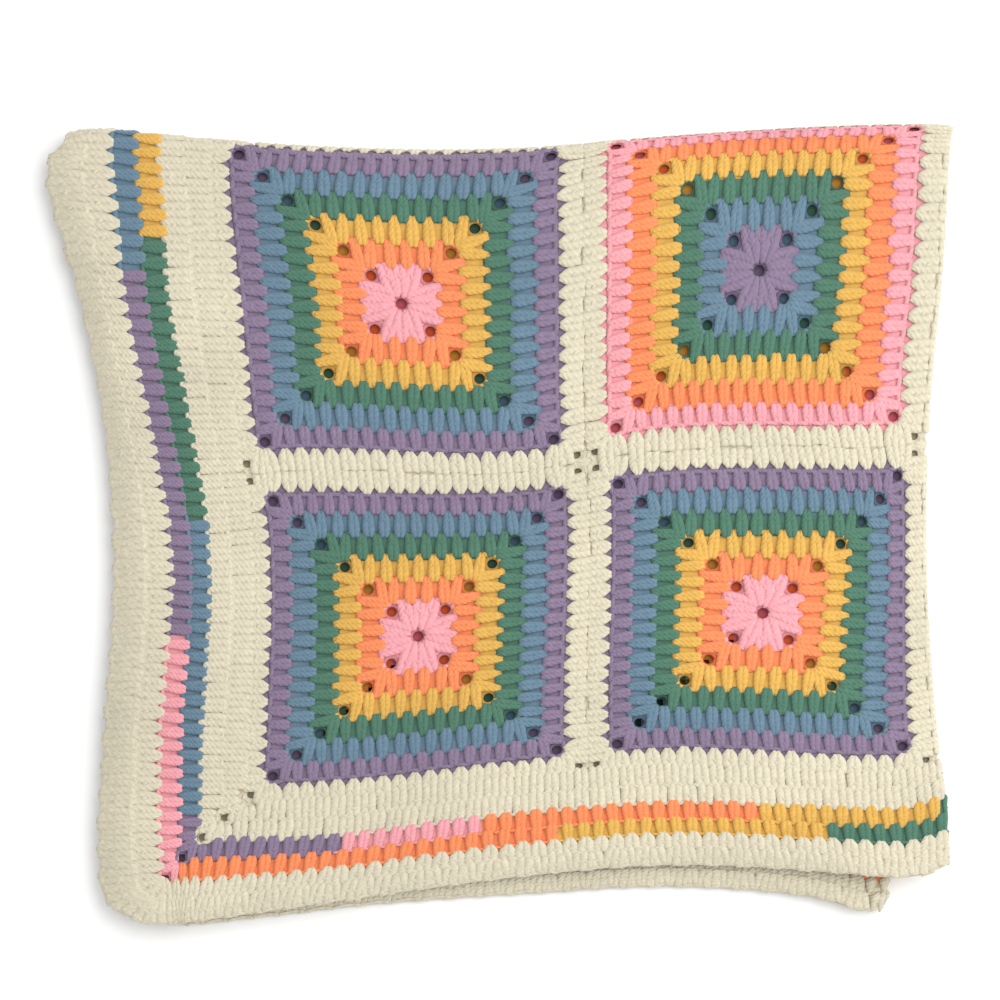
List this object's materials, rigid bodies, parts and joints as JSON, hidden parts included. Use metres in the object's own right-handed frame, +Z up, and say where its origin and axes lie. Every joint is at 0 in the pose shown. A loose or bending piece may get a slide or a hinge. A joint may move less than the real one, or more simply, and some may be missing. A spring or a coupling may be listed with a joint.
{
  "type": "granny square blanket",
  "caption": "Crochet granny square blanket in rainbow rounds with a striped and scalloped border, folded flat in quarters.",
  "frame": {"origin": "centre of the folded blanket's bounding box, on the surface that it rests on", "axes": "+Z up through the layers, +X towards the long fold on the right, +Y towards the far fold"},
  "size_m": [0.4622, 0.4086, 0.0205],
  "materials": {
    "yarn": "soft plied acrylic yarn in crochet, cream with rainbow rounds"
  },
  "bodies": {
    "root": {"blanket": "yarn"}
  },
  "joints": []
}
